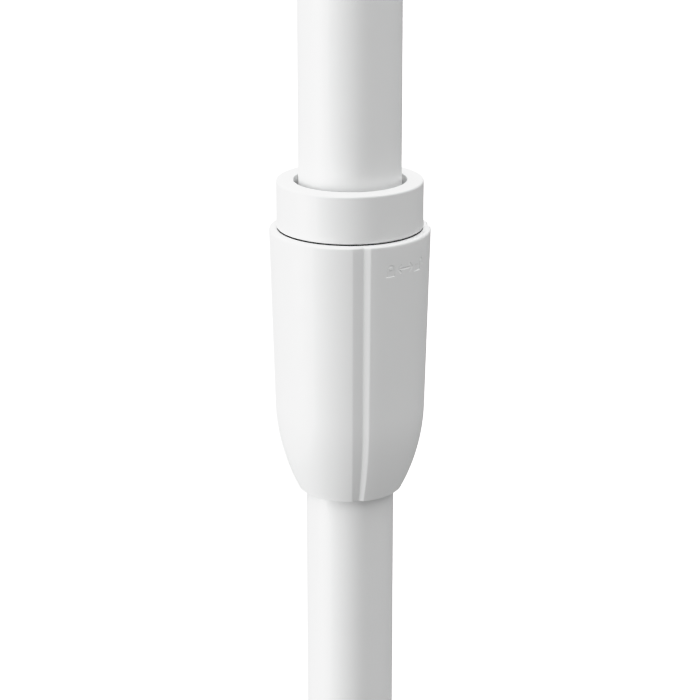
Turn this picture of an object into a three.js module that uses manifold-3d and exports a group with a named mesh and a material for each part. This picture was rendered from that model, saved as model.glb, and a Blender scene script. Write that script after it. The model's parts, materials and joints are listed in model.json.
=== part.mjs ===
// A telescopic pole joint with a twist lock, with a stub of each tube.
// The lower tube slides up inside the upper tube. A collet core is fixed round the foot of the upper
// tube, and its fingers surround the lower tube. Turning the lobed grip sleeve moves a wedge ring
// along the fingers and squeezes them, through a liner, onto the lower tube.
// Millimetres, +Z up along the pole, origin at the centre of the lower end face, -Y is the front.
import * as THREE from "three";
import { mergeVertices } from "three/addons/utils/BufferGeometryUtils.js";
import Module from "manifold-3d";

const wasm = await Module();
wasm.setup();

// ---- Driving dimensions ----
const AROUND = 48; // facets round a piece that shows
const HIDDEN_AROUND = 32; // facets round an inner piece
const GAP = 0.3; // between pieces that touch

const LOWER_TUBE_RADIUS = 11; // 22 mm tube
const UPPER_TUBE_RADIUS = 12.5; // 25 mm tube
const TUBE_WALL = 0.8;
const OVERALL_HEIGHT = 290;
const LOWER_TUBE_TOP = 205;
const UPPER_TUBE_FOOT = 152;

const SLEEVE_BOTTOM = 104.8;
const SLEEVE_TOP = 171.6;
const SLEEVE_TOP_RADIUS = 19.72;
const SLEEVE_TAPER = THREE.MathUtils.degToRad(1.45);
const BELLY_START = 126.2; // where the taper turns into the rounded foot
const BELLY_RADIUS = 49.4; // of the arc that rounds the foot, in profile
const SLEEVE_EDGE = 0.6; // rounding of the rim
const MOUTH_RADIUS = 17.7;
const RING_SEAT = 160.2; // the step that the retaining ring sits on
const FLANGE_BORE = 17;
const FLANGE_SEAT = 155; // the step that carries the core's flange
const TRACK_BORE = 16;
const TRACK_DEPTH = 1.2;
const TRACK_FLOOR = 124;
const WIPER_BORE = 12.8;
const WIPER_SEAT = 107.6;
const WIPER_TOP = 112.4;
const SLEEVE_FOOT_BORE = 11.8;

const GROOVES = 4;
const GROOVE_TURN = 9.65; // degrees from the front, anticlockwise from above
const GROOVE_DEPTH = 0.62;
const GROOVE_LONG_SIDE = 7.6; // degrees from the groove's floor to its shallow edge
const GROOVE_SHORT_SIDE = 4.75; // and to its steep edge
const LOBE_FACETS = 10;

const COLLAR_BOTTOM = 171.85;
const COLLAR_TOP = 183.6;
const COLLAR_RADIUS = 17.85;
const COLLAR_LIP_RADIUS = 13.7;
const COLLAR_LIP = 3.2; // thickness of the inward lip
const COLLAR_EDGE = 0.6;

const CORE_RADIUS = 15.2;
const CORE_TOP = 180;
const SHOULDER_TOP = 151.7; // the upper tube stands here
const SHOULDER_BORE = 11.2;
const FLANGE_RADIUS = 16.7;
const FLANGE_THICKNESS = 2.8;
const FINGER_FOOT = 122;
const FINGER_TOP = 143.5;
const FINGER_FOOT_RADIUS = 12.3;
const FINGER_TOP_RADIUS = 14.2;
const FINGERS = 6;
const SLOT_WIDTH = 2.4;
const SLOT_TOP = 146;

const LINER_INNER = 11.15;
const LINER_OUTER = 11.6;
const LINER_BOTTOM = 124;
const LINER_TOP = 140.2;

const WEDGE_BOTTOM = 127;
const WEDGE_TOP = 138;
const WEDGE_CONE_GAP = 0.25;
const WEDGE_TRAVEL = 2; // down, over the whole twist
const TWIST = 75; // degrees, from locked to free
const LUGS = 3;
const LUG_HALF = 1.5; // half of a lug's width and of its height
const LUG_RADIUS = 16.8;
const LUG_CLEARANCE = 0.4;
const ENTRY_TURN = 13; // degrees past the free end, where the lugs drop in

const WASHER_BORE = 15.5;
const THRUST_WASHER = 0.8;
const WAVE_WASHER = 0.4;
const WAVE_HEIGHT = 0.15;
const WAVES = 3;
const RETAINER_TOP = 165;
const RETAINER_RADIUS = 17.4;

const GUIDE_FLANGE = 3;
const GUIDE_LENGTH = 13;
const GUIDE_BORE = 8;

const PLUG_FLANGE = 2;
const PLUG_LENGTH = 20;
const INSERT_RADIUS = 6.2;
const INSERT_BORE = 4.3;
const INSERT_LENGTH = 15.7;
const PLUG_STEP_BORE = 5;
const RIVET_HEIGHT = 12; // from the end face to the rivets
const RIVET_SHANK = 1.4;
const RIVET_HEAD = 2.6;

const SCREWS = 3;
const SCREW_HEIGHT = 176;
const SCREW_RADIUS = 2;
const SCREW_POINT = 1.1;

// ---- Materials ----
const paint = (color) => new THREE.MeshStandardMaterial({ color, roughness: 0.45, metalness: 0 });
const whitePaint = paint(0xf1f2f2);
const whitePlastic = new THREE.MeshStandardMaterial({ color: 0xeff0f0, roughness: 0.5 });
const naturalPlastic = new THREE.MeshStandardMaterial({ color: 0xdcdad2, roughness: 0.4 });
const blackPlastic = new THREE.MeshStandardMaterial({ color: 0x17181a, roughness: 0.5 });
const greyPlastic = new THREE.MeshStandardMaterial({ color: 0x8b8f93, roughness: 0.5 });
const rubber = new THREE.MeshStandardMaterial({ color: 0x2b2c2e, roughness: 0.85 });
const steel = new THREE.MeshStandardMaterial({ color: 0xa9adb2, roughness: 0.3, metalness: 1 });
const brass = new THREE.MeshStandardMaterial({ color: 0xc9a452, roughness: 0.3, metalness: 1 });

// ---- Solids ----
// A geometry as a solid that can be joined and cut.
function solid(geometry) {
  const bare = geometry.clone();
  bare.deleteAttribute("normal");
  bare.deleteAttribute("uv");
  const merged = mergeVertices(bare, 1e-4);
  const vertProperties = new Float32Array(merged.attributes.position.array);
  const triVerts = new Uint32Array(merged.index.array);
  return new wasm.Manifold(new wasm.Mesh({ numProp: 3, vertProperties, triVerts }));
}

function geometryOf(made) {
  const { vertProperties, triVerts } = made.getMesh();
  return new THREE.BufferGeometry()
    .setAttribute("position", new THREE.BufferAttribute(vertProperties, 3))
    .setIndex(new THREE.BufferAttribute(triVerts, 1));
}

// A profile of [radius, height] points, turned round Z. Outer walls run upwards, inner walls downwards.
function turned(profile, facets = AROUND) {
  const onAxis = profile[0][0] === 0 && profile.at(-1)[0] === 0;
  const loop = onAxis ? profile : [...profile, profile[0]];
  const points = loop.map(([r, z]) => new THREE.Vector2(r, z));
  return new THREE.LatheGeometry(points, facets).rotateX(Math.PI / 2);
}

// A plain ring between two radii and two heights.
const ring = (inner, outer, low, high, facets = HIDDEN_AROUND) =>
  turned([[inner, low], [outer, low], [outer, high], [inner, high]], facets);

// Points along a quarter round of a corner, from one angle to another in degrees.
function round(r, z, radius, from, to, steps = 3) {
  const [a, b] = [from, to].map(THREE.MathUtils.degToRad);
  const arc = new THREE.EllipseCurve(r, z, radius, radius, a, b, b < a);
  return arc.getPoints(steps).map((p) => [p.x, p.y]);
}

// The rotation about Z that carries the front, -Y, round by an angle in degrees.
const turn = (geometry, degrees) => geometry.rotateZ(THREE.MathUtils.degToRad(degrees));

// A piece turned round Z and laid along the radius that points at an angle in degrees from the front.
function radial(geometry, degrees, height) {
  return turn(geometry.rotateX(Math.PI / 2), degrees).translate(0, 0, height);
}

// A pin hole along a radius, from one radius to another.
function radialHole(radius, from, to, degrees, height) {
  return solid(radial(turned([[0, from], [radius, from], [radius, to], [0, to]], 16), degrees, height));
}

// A block that follows a circle: from one angle to another, and from one radius to another, with its
// middle height moving from one value to another.
function curvedBlock({ inner, outer, from, to, startHeight, endHeight, half, steps }) {
  const position = [];
  const index = [];
  for (let i = 0; i <= steps; i++) {
    const share = i / steps;
    const angle = THREE.MathUtils.degToRad(from + (to - from) * share);
    const middle = startHeight + (endHeight - startHeight) * share;
    for (const [r, z] of [[inner, -half], [outer, -half], [outer, half], [inner, half]])
      position.push(r * Math.sin(angle), -r * Math.cos(angle), middle + z);
    if (i === steps) continue;
    for (let k = 0; k < 4; k++) {
      const [a, b] = [4 * i + k, 4 * i + ((k + 1) % 4)];
      index.push(a, b + 4, b, a, a + 4, b + 4);
    }
  }
  const end = 4 * steps;
  index.push(0, 1, 2, 0, 2, 3, end, end + 2, end + 1, end, end + 3, end + 2);
  return new THREE.BufferGeometry()
    .setAttribute("position", new THREE.Float32BufferAttribute(position, 3))
    .setIndex(index);
}

// ---- Grip sleeve ----
const taperRadius = (z) => SLEEVE_TOP_RADIUS - (SLEEVE_TOP - z) * Math.tan(SLEEVE_TAPER);
const bellyCentre = {
  r: taperRadius(BELLY_START) - BELLY_RADIUS * Math.cos(SLEEVE_TAPER),
  z: BELLY_START + BELLY_RADIUS * Math.sin(SLEEVE_TAPER),
};

// The sleeve's outer radius between its grooves.
function sleeveRadius(z) {
  if (z >= BELLY_START) return taperRadius(z);
  return bellyCentre.r + Math.sqrt(BELLY_RADIUS ** 2 - (z - bellyCentre.z) ** 2);
}

// The outer wall from the foot to the rim, which the grooves are sunk into.
function sleeveOuterWall() {
  const footAngle = Math.asin((SLEEVE_BOTTOM - bellyCentre.z) / BELLY_RADIUS);
  const [foot, start] = [footAngle, -SLEEVE_TAPER].map(THREE.MathUtils.radToDeg);
  const belly = round(bellyCentre.r, bellyCentre.z, BELLY_RADIUS, foot, start, 6);
  const rimZ = SLEEVE_TOP - SLEEVE_EDGE;
  const rim = round(sleeveRadius(rimZ) - SLEEVE_EDGE, rimZ, SLEEVE_EDGE, 0, 90);
  const middle = (BELLY_START + SLEEVE_TOP) / 2;
  return [...belly, [sleeveRadius(middle), middle], ...rim];
}

const SLEEVE_BORES = [
  [MOUTH_RADIUS, SLEEVE_TOP],
  [MOUTH_RADIUS, RING_SEAT],
  [FLANGE_BORE, RING_SEAT],
  [FLANGE_BORE, FLANGE_SEAT],
  [TRACK_BORE, FLANGE_SEAT],
  [TRACK_BORE, TRACK_FLOOR],
  [15.5, 118],
  [14, WIPER_TOP],
  [WIPER_BORE, WIPER_TOP],
  [WIPER_BORE, WIPER_SEAT],
  [SLEEVE_FOOT_BORE, WIPER_SEAT],
  [SLEEVE_FOOT_BORE, SLEEVE_BOTTOM],
];

// Angles from the front in degrees round the sleeve, each with its share of the groove's depth.
function lobeAngles() {
  const angles = [];
  for (let g = 0; g < GROOVES; g++) {
    const floor = GROOVE_TURN + (360 / GROOVES) * g;
    const lobe = 360 / GROOVES - GROOVE_LONG_SIDE - GROOVE_SHORT_SIDE;
    angles.push([floor - GROOVE_LONG_SIDE, 0], [floor, 1]);
    for (let i = 0; i < LOBE_FACETS; i++)
      angles.push([floor + GROOVE_SHORT_SIDE + (lobe * i) / LOBE_FACETS, 0]);
  }
  return angles;
}

function sleeveBody() {
  const wall = sleeveOuterWall();
  const profile = [...wall.map((p) => [...p, true]), ...SLEEVE_BORES.map((p) => [...p, false])];
  const angles = lobeAngles();
  const [rows, columns] = [profile.length, angles.length];
  const position = [];
  const index = [];
  angles.forEach(([degrees, sunk], column) => {
    const angle = THREE.MathUtils.degToRad(degrees);
    profile.forEach(([radius, z, outer], row) => {
      const floor = sleeveRadius(z) - GROOVE_DEPTH;
      const r = outer && sunk ? Math.min(radius, floor) : radius;
      position.push(r * Math.sin(angle), -r * Math.cos(angle), z);
      const a = column * rows + row;
      const b = column * rows + ((row + 1) % rows);
      const across = ((column + 1) % columns) * rows - column * rows;
      index.push(a, a + across, b + across, a, b + across, b);
    });
  });
  return new THREE.BufferGeometry()
    .setAttribute("position", new THREE.Float32BufferAttribute(position, 3))
    .setIndex(index);
}

const LUG_MIDDLE = (WEDGE_BOTTOM + WEDGE_TOP) / 2;
const lugTurn = (i) => (360 / LUGS) * i;

// The track for one lug: down the entry slot, along the level lead-in, and up the cam to the locked end.
function lugTrack(i) {
  const half = LUG_HALF + LUG_CLEARANCE;
  const margin = THREE.MathUtils.radToDeg(half / TRACK_BORE);
  const locked = lugTurn(i);
  const free = locked - TWIST;
  const entry = free - ENTRY_TURN;
  const low = LUG_MIDDLE - WEDGE_TRAVEL;
  const band = { inner: TRACK_BORE - 1, outer: TRACK_BORE + TRACK_DEPTH, half };
  const top = FLANGE_SEAT + 1;
  const slotMiddle = (low - half + top) / 2;
  const pieces = [
    { ...band, from: free, to: locked, startHeight: low, endHeight: LUG_MIDDLE, steps: 12 },
    { ...band, from: locked, to: locked + margin, startHeight: LUG_MIDDLE, endHeight: LUG_MIDDLE, steps: 1 },
    { ...band, from: entry - margin, to: free, startHeight: low, endHeight: low, steps: 4 },
    {
      ...band,
      from: entry - margin,
      to: entry + margin,
      startHeight: slotMiddle,
      endHeight: slotMiddle,
      half: (top - low + half) / 2,
      steps: 2,
    },
  ];
  return wasm.Manifold.union(pieces.map((piece) => solid(curvedBlock(piece))));
}

function gripSleeve() {
  let made = solid(sleeveBody());
  for (let i = 0; i < LUGS; i++) made = made.subtract(lugTrack(i));
  return geometryOf(made);
}

// ---- Collet core, liner and wedge ring ----
const FLANGE_BOTTOM = FLANGE_SEAT + GAP + THRUST_WASHER + GAP;
const coneRadius = (z) =>
  FINGER_FOOT_RADIUS +
  ((FINGER_TOP_RADIUS - FINGER_FOOT_RADIUS) * (z - FINGER_FOOT)) / (FINGER_TOP - FINGER_FOOT);

function colletCore() {
  const boreRadius = UPPER_TUBE_RADIUS + GAP;
  const pocketRadius = LINER_OUTER + GAP;
  let made = solid(
    turned([
      [FINGER_FOOT_RADIUS, FINGER_FOOT],
      [FINGER_TOP_RADIUS, FINGER_TOP],
      [CORE_RADIUS, FINGER_TOP],
      [CORE_RADIUS, FLANGE_BOTTOM],
      [FLANGE_RADIUS, FLANGE_BOTTOM],
      [FLANGE_RADIUS, FLANGE_BOTTOM + FLANGE_THICKNESS],
      [CORE_RADIUS, FLANGE_BOTTOM + FLANGE_THICKNESS],
      [CORE_RADIUS, CORE_TOP],
      [boreRadius, CORE_TOP],
      [boreRadius, SHOULDER_TOP],
      [SHOULDER_BORE, SHOULDER_TOP],
      [SHOULDER_BORE, LINER_TOP + GAP],
      [pocketRadius, LINER_TOP + GAP],
      [pocketRadius, LINER_BOTTOM - GAP],
      [SHOULDER_BORE, LINER_BOTTOM - GAP],
      [SHOULDER_BORE, FINGER_FOOT],
    ], HIDDEN_AROUND),
  );
  const slotHeight = SLOT_TOP - FINGER_FOOT + 1;
  for (let i = 0; i < FINGERS; i++) {
    const slot = new THREE.BoxGeometry(SLOT_WIDTH, CORE_RADIUS + 1, slotHeight);
    slot.translate(0, -(CORE_RADIUS + 1) / 2, SLOT_TOP - slotHeight / 2);
    made = made.subtract(solid(turn(slot, (360 / FINGERS) * i)));
  }
  for (let i = 0; i < SCREWS; i++)
    made = made.subtract(
      radialHole(SCREW_RADIUS + GAP, boreRadius - 1, CORE_RADIUS + 1, screwTurn(i), SCREW_HEIGHT),
    );
  return geometryOf(made);
}

// A thin lining, split at the back so that the fingers can close it.
function frictionLiner() {
  const split = new THREE.BoxGeometry(2, 4, LINER_TOP - LINER_BOTTOM + 2);
  split.translate(0, LINER_OUTER, (LINER_TOP + LINER_BOTTOM) / 2);
  const lining = solid(ring(LINER_INNER, LINER_OUTER, LINER_BOTTOM, LINER_TOP));
  return geometryOf(lining.subtract(solid(split)));
}

// The ring that squeezes the fingers. Lugs outside ride in the sleeve's tracks, and keys inside stand
// in the collet's slots, so it can only slide.
function wedgeRing() {
  const outer = TRACK_BORE - GAP;
  let made = solid(
    turned([
      [coneRadius(WEDGE_BOTTOM) + WEDGE_CONE_GAP, WEDGE_BOTTOM],
      [outer, WEDGE_BOTTOM],
      [outer, WEDGE_TOP],
      [coneRadius(WEDGE_TOP) + WEDGE_CONE_GAP, WEDGE_TOP],
    ], HIDDEN_AROUND),
  );
  const keyFloor = LINER_OUTER + 2 * GAP;
  const keyDepth = outer - 1 - keyFloor;
  for (let i = 0; i < LUGS; i++) {
    const lug = new THREE.BoxGeometry(2 * LUG_HALF, LUG_RADIUS - outer + 1, 2 * LUG_HALF);
    lug.translate(0, -(LUG_RADIUS + outer - 1) / 2, LUG_MIDDLE);
    const key = new THREE.BoxGeometry(SLOT_WIDTH - 2 * GAP, keyDepth, WEDGE_TOP - WEDGE_BOTTOM);
    key.translate(0, -keyFloor - keyDepth / 2, LUG_MIDDLE);
    made = made.add(solid(turn(lug, lugTurn(i)))).add(solid(turn(key, lugTurn(i))));
  }
  return geometryOf(made);
}

// ---- Washers and retaining ring ----
function waveWasher() {
  const bottom = FLANGE_BOTTOM + FLANGE_THICKNESS + GAP + WAVE_HEIGHT;
  const washer = ring(WASHER_BORE, FLANGE_RADIUS, bottom, bottom + WAVE_WASHER);
  const position = washer.attributes.position;
  for (let i = 0; i < position.count; i++) {
    const angle = Math.atan2(position.getX(i), -position.getY(i));
    position.setZ(i, position.getZ(i) + WAVE_HEIGHT * Math.cos(WAVES * angle));
  }
  return washer;
}

const thrustWasher = () =>
  ring(WASHER_BORE, FLANGE_RADIUS, FLANGE_SEAT + GAP, FLANGE_SEAT + GAP + THRUST_WASHER);
const retainingRing = () => ring(WASHER_BORE, RETAINER_RADIUS, RING_SEAT + GAP, RETAINER_TOP);
const wiperRing = () =>
  ring(LOWER_TUBE_RADIUS + 0.2, WIPER_BORE - GAP, WIPER_SEAT + GAP, WIPER_TOP - GAP);

// ---- Collar and its hidden screws ----
function collarRing() {
  const inner = CORE_RADIUS + GAP;
  const lipBottom = COLLAR_TOP - COLLAR_LIP;
  const outer = COLLAR_RADIUS - COLLAR_EDGE;
  const bore = COLLAR_LIP_RADIUS + COLLAR_EDGE / 2;
  return turned([
    [COLLAR_RADIUS - GAP, COLLAR_BOTTOM],
    [COLLAR_RADIUS, COLLAR_BOTTOM + GAP],
    ...round(outer, COLLAR_TOP - COLLAR_EDGE, COLLAR_EDGE, 0, 90),
    ...round(bore, COLLAR_TOP - COLLAR_EDGE / 2, COLLAR_EDGE / 2, 90, 180, 2),
    [COLLAR_LIP_RADIUS, lipBottom],
    [inner, lipBottom],
    [inner, COLLAR_BOTTOM],
  ]);
}

const screwTurn = (i) => 30 + (360 / SCREWS) * i;

// A socket set screw whose dog point stands in a hole in the upper tube.
function coreScrew(i) {
  const point = UPPER_TUBE_RADIUS - TUBE_WALL / 2;
  const seat = UPPER_TUBE_RADIUS + GAP + 0.2;
  const head = CORE_RADIUS - 0.2;
  const profile = [[0, point], [SCREW_POINT, point], [SCREW_POINT, seat], [SCREW_RADIUS, seat]];
  const body = solid(turned([...profile, [SCREW_RADIUS, head], [0, head]], 16));
  const socket = new THREE.CylinderGeometry(1.15, 1.15, 2.4, 6).rotateX(Math.PI / 2);
  const made = body.subtract(solid(socket.translate(0, 0, head)));
  return radial(geometryOf(made), screwTurn(i), SCREW_HEIGHT);
}

// ---- Tubes ----
const plugFoot = PLUG_FLANGE + GAP;
const rivetTurns = { left: -90, right: 90 };

function drilled(tube, radius, height) {
  const [from, to] = [radius - 2, radius + 1];
  const holes = Object.values(rivetTurns).map((t) =>
    radialHole(RIVET_SHANK + GAP, from, to, t, height),
  );
  return holes.reduce((made, hole) => made.subtract(hole), tube);
}

function lowerTube() {
  const wall = solid(
    ring(LOWER_TUBE_RADIUS - TUBE_WALL, LOWER_TUBE_RADIUS, plugFoot, LOWER_TUBE_TOP, AROUND),
  );
  return geometryOf(drilled(wall, LOWER_TUBE_RADIUS, RIVET_HEIGHT));
}

function upperTube() {
  const top = OVERALL_HEIGHT - plugFoot;
  const wall = solid(
    ring(UPPER_TUBE_RADIUS - TUBE_WALL, UPPER_TUBE_RADIUS, UPPER_TUBE_FOOT, top, AROUND),
  );
  let made = drilled(wall, UPPER_TUBE_RADIUS, OVERALL_HEIGHT - RIVET_HEIGHT);
  const [from, to] = [UPPER_TUBE_RADIUS - 2, UPPER_TUBE_RADIUS + 1];
  for (let i = 0; i < SCREWS; i++)
    made = made.subtract(radialHole(SCREW_POINT + GAP, from, to, screwTurn(i), SCREW_HEIGHT));
  return geometryOf(made);
}

// A flanged bush in the head of the lower tube. It guides that tube in the upper one, and its flange
// meets the core's shoulder at full height.
function guideBush() {
  const hub = LOWER_TUBE_RADIUS - TUBE_WALL - GAP;
  const flange = UPPER_TUBE_RADIUS - TUBE_WALL - GAP;
  const seat = LOWER_TUBE_TOP + GAP;
  return turned([
    [hub, LOWER_TUBE_TOP - GUIDE_LENGTH],
    [hub, seat],
    [flange, seat],
    [flange, seat + GUIDE_FLANGE],
    [GUIDE_BORE, seat + GUIDE_FLANGE],
    [GUIDE_BORE, LOWER_TUBE_TOP - GUIDE_LENGTH],
  ], HIDDEN_AROUND);
}

// ---- End plugs, with their threaded inserts and rivets ----
// Each is drawn at the lower end, and the upper one is turned over.
const atTop = (geometry) => geometry.rotateX(Math.PI).translate(0, 0, OVERALL_HEIGHT);

function endPlug(tubeRadius) {
  const hub = tubeRadius - TUBE_WALL - GAP;
  const seat = INSERT_RADIUS + GAP;
  const step = GAP + INSERT_LENGTH + GAP;
  const body = solid(
    turned([
      [tubeRadius - GAP, 0],
      [tubeRadius, GAP],
      [tubeRadius, PLUG_FLANGE],
      [hub, PLUG_FLANGE],
      [hub, PLUG_LENGTH],
      [PLUG_STEP_BORE, PLUG_LENGTH],
      [PLUG_STEP_BORE, step],
      [seat, step],
      [seat, 0],
    ]),
  );
  return geometryOf(
    Object.values(rivetTurns).reduce(
      (made, t) => made.subtract(radialHole(RIVET_SHANK + GAP, seat + 0.5, tubeRadius, t, RIVET_HEIGHT)),
      body,
    ),
  );
}

function threadInsert() {
  return turned([
    [INSERT_BORE + 0.5, GAP],
    [INSERT_RADIUS, GAP],
    [INSERT_RADIUS, GAP + INSERT_LENGTH],
    [INSERT_BORE, GAP + INSERT_LENGTH],
    [INSERT_BORE, GAP + 0.5],
  ], HIDDEN_AROUND);
}

// A blind rivet through the tube's wall into the plug, with a domed head.
function plugRivet(tubeRadius, degrees) {
  const head = tubeRadius + GAP;
  const tip = INSERT_RADIUS + 2 * GAP + 0.6;
  const dome = 1;
  const profile = [
    [0, tip],
    [RIVET_SHANK, tip],
    [RIVET_SHANK, head],
    [RIVET_HEAD, head],
    [RIVET_HEAD * 0.9, head + dome * 0.45],
    [RIVET_HEAD * 0.55, head + dome * 0.85],
    [0, head + dome],
  ];
  return radial(turned(profile, 16), degrees, RIVET_HEIGHT);
}

// ---- Assembly ----
function piece(name, geometry, material) {
  const mesh = new THREE.Mesh(geometry, material);
  mesh.name = name;
  return mesh;
}

function group(...children) {
  const made = new THREE.Group();
  made.add(...children);
  return made;
}

const lowerPole = group(
  piece("lower_tube", lowerTube(), whitePaint),
  piece("guide_bush", guideBush(), greyPlastic),
  piece("lower_end_plug", endPlug(LOWER_TUBE_RADIUS), whitePlastic),
  piece("lower_thread_insert", threadInsert(), brass),
  ...Object.entries(rivetTurns).map(([side, t]) =>
    piece("lower_rivet_" + side, plugRivet(LOWER_TUBE_RADIUS, t), whitePaint),
  ),
);

const upperPole = group(
  piece("upper_tube", upperTube(), whitePaint),
  piece("collar_ring", collarRing(), whitePlastic),
  piece("collet_core", colletCore(), blackPlastic),
  piece("friction_liner", frictionLiner(), rubber),
  piece("wave_washer", waveWasher(), steel),
  piece("upper_end_plug", atTop(endPlug(UPPER_TUBE_RADIUS)), whitePlastic),
  piece("upper_thread_insert", atTop(threadInsert()), brass),
  ...Object.entries(rivetTurns).map(([side, t]) =>
    piece("upper_rivet_" + side, atTop(plugRivet(UPPER_TUBE_RADIUS, t)), whitePaint),
  ),
  ...Array.from({ length: SCREWS }, (_, i) => piece("core_screw_" + (i + 1), coreScrew(i), steel)),
);

const grip = group(
  piece("grip_sleeve", gripSleeve(), whitePlastic),
  piece("retaining_ring", retainingRing(), blackPlastic),
  piece("thrust_washer", thrustWasher(), naturalPlastic),
);

const pole = group(
  lowerPole,
  upperPole,
  grip,
  piece("wedge_ring", wedgeRing(), greyPlastic),
  piece("wiper_ring", wiperRing(), rubber),
);

export default pole;
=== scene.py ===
"""A telescopic pole joint with a twist lock, as a new product on white.

The pieces are turned, moulded or cut as the real ones are, in millimetres scaled to metres. Most of them take
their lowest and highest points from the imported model. The pole stands along +Z, -Y is the front, and angles
are in degrees from the front towards +X.
"""

import json
import math

import bmesh
import bpy
from mathutils import Matrix, Vector

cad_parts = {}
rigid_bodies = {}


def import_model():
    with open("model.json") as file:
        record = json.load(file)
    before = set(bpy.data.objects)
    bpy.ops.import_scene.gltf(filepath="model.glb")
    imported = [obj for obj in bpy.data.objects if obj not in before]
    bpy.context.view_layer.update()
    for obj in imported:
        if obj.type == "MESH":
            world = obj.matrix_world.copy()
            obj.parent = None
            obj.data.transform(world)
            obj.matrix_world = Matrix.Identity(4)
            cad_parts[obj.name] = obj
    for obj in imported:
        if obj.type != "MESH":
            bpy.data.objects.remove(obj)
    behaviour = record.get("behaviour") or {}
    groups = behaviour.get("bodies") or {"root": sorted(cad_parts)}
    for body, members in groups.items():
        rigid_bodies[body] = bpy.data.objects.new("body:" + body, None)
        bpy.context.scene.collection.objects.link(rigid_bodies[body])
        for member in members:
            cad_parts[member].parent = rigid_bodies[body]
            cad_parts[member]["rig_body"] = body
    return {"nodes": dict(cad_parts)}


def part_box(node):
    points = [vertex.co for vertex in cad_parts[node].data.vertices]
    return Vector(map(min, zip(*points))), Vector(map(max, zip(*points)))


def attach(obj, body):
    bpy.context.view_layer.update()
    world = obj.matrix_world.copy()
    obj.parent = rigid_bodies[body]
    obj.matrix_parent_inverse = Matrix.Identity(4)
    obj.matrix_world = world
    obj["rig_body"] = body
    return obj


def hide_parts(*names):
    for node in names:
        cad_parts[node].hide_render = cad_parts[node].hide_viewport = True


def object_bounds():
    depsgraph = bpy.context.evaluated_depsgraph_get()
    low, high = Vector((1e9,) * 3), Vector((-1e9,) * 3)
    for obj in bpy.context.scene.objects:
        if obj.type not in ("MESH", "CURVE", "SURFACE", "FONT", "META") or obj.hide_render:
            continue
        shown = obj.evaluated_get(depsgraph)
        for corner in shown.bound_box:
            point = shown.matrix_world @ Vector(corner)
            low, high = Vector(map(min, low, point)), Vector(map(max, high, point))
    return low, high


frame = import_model()
cad_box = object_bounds()
scene = bpy.context.scene

MM = 0.001
FINE = 144  # facets round a piece that shows
PLAIN = 96  # facets round an inner piece
SLIVER = 2e-6  # metres, below which a cut leaves nothing
SHARP_EDGE = math.radians(32)  # faces that meet at more than this keep a crisp edge


# ---- Dimensions that several pieces share ----
OVERALL = cad_box[1].z / MM
CLEARANCE = 0.3  # between pieces that touch
LOWER_RADIUS = 11
UPPER_RADIUS = 12.5
TUBE_WALL = 0.8
CORE_RADIUS = 15.2
FLANGE_RADIUS = 16.7
WASHER_BORE = 15.5
LUG_TURNS = [0, 120, 240]
LUG_MIDDLE = 132.5
LUG_HALF = 1.5  # half of a lug's width and of its height
LUG_RADIUS = 16.8
RIVET_TURNS = {"left": -90, "right": 90}
RIVET_HEIGHT = 12  # from the end face
RIVET_SHANK = 1.4
SCREW_TURNS = [30, 150, 270]
SCREW_HEIGHT = 176
SCREW_RADIUS = 2
SCREW_POINT = 1.1


# ---- Camera ----
CAMERA_TARGET = Vector((0, 0, 0.14))
CAMERA_DISTANCE = 0.5237
CAMERA_PITCH = math.radians(18.32)
CAMERA_LENS = 108.8

camera = bpy.data.objects.new("camera", bpy.data.cameras.new("camera"))
scene.collection.objects.link(camera)
back = Vector((0, -math.cos(CAMERA_PITCH), math.sin(CAMERA_PITCH)))
camera.location = CAMERA_TARGET + back * CAMERA_DISTANCE
camera.rotation_euler = (-back).to_track_quat("-Z", "Y").to_euler()
camera.data.lens = CAMERA_LENS
camera.data.sensor_width = 36
camera.data.clip_start = 0.01
scene.camera = camera


# ---- Materials ----
CLOUDING = 0.015  # how much darker a plain colour turns in its patches
HANDLING_POLISH = 0.08  # how much smoother an edge turns where hands rub it
MIX_SHARE, MIX_FIRST, MIX_SECOND, MIX_RESULT = 0, 6, 7, 2  # the colour sockets of a mix node


def new_material(name, color, roughness, metallic=0.0):
    """A material, its node tree and its Principled shader."""
    material = bpy.data.materials.new(name)
    material.use_nodes = True
    shader = material.node_tree.nodes["Principled BSDF"]
    shader.inputs["Base Color"].default_value = (*color, 1)
    shader.inputs["Roughness"].default_value = roughness
    shader.inputs["Metallic"].default_value = metallic
    return material, material.node_tree, shader


def noise(tree, scale, detail=3, stretch=(1, 1, 1)):
    """Noise in the piece's own metres, with its features shrunk by stretch along each axis."""
    place = tree.nodes.new("ShaderNodeTexCoord")
    mapping = tree.nodes.new("ShaderNodeMapping")
    mapping.inputs["Scale"].default_value = stretch
    texture = tree.nodes.new("ShaderNodeTexNoise")
    texture.inputs["Scale"].default_value = scale
    texture.inputs["Detail"].default_value = detail
    tree.links.new(place.outputs["Object"], mapping.inputs["Vector"])
    tree.links.new(mapping.outputs["Vector"], texture.inputs["Vector"])
    return texture.outputs["Fac"]


def spread(tree, value, low, high, source=(0.3, 0.7)):
    """A value between low and high, as the source value runs over its range."""
    node = tree.nodes.new("ShaderNodeMapRange")
    node.inputs["From Min"].default_value, node.inputs["From Max"].default_value = source
    node.inputs["To Min"].default_value, node.inputs["To Max"].default_value = low, high
    tree.links.new(value, node.inputs["Value"])
    return node.outputs["Result"]


def mottle(tree, shader, value, color, depth):
    """Varies the base colour from the colour down to a slightly darker one."""
    mix = tree.nodes.new("ShaderNodeMix")
    mix.data_type = "RGBA"
    mix.inputs[MIX_FIRST].default_value = (*(c * (1 - depth) for c in color), 1)
    mix.inputs[MIX_SECOND].default_value = (*color, 1)
    tree.links.new(spread(tree, value, 0, 1), mix.inputs[MIX_SHARE])
    tree.links.new(mix.outputs[MIX_RESULT], shader.inputs["Base Color"])


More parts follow.
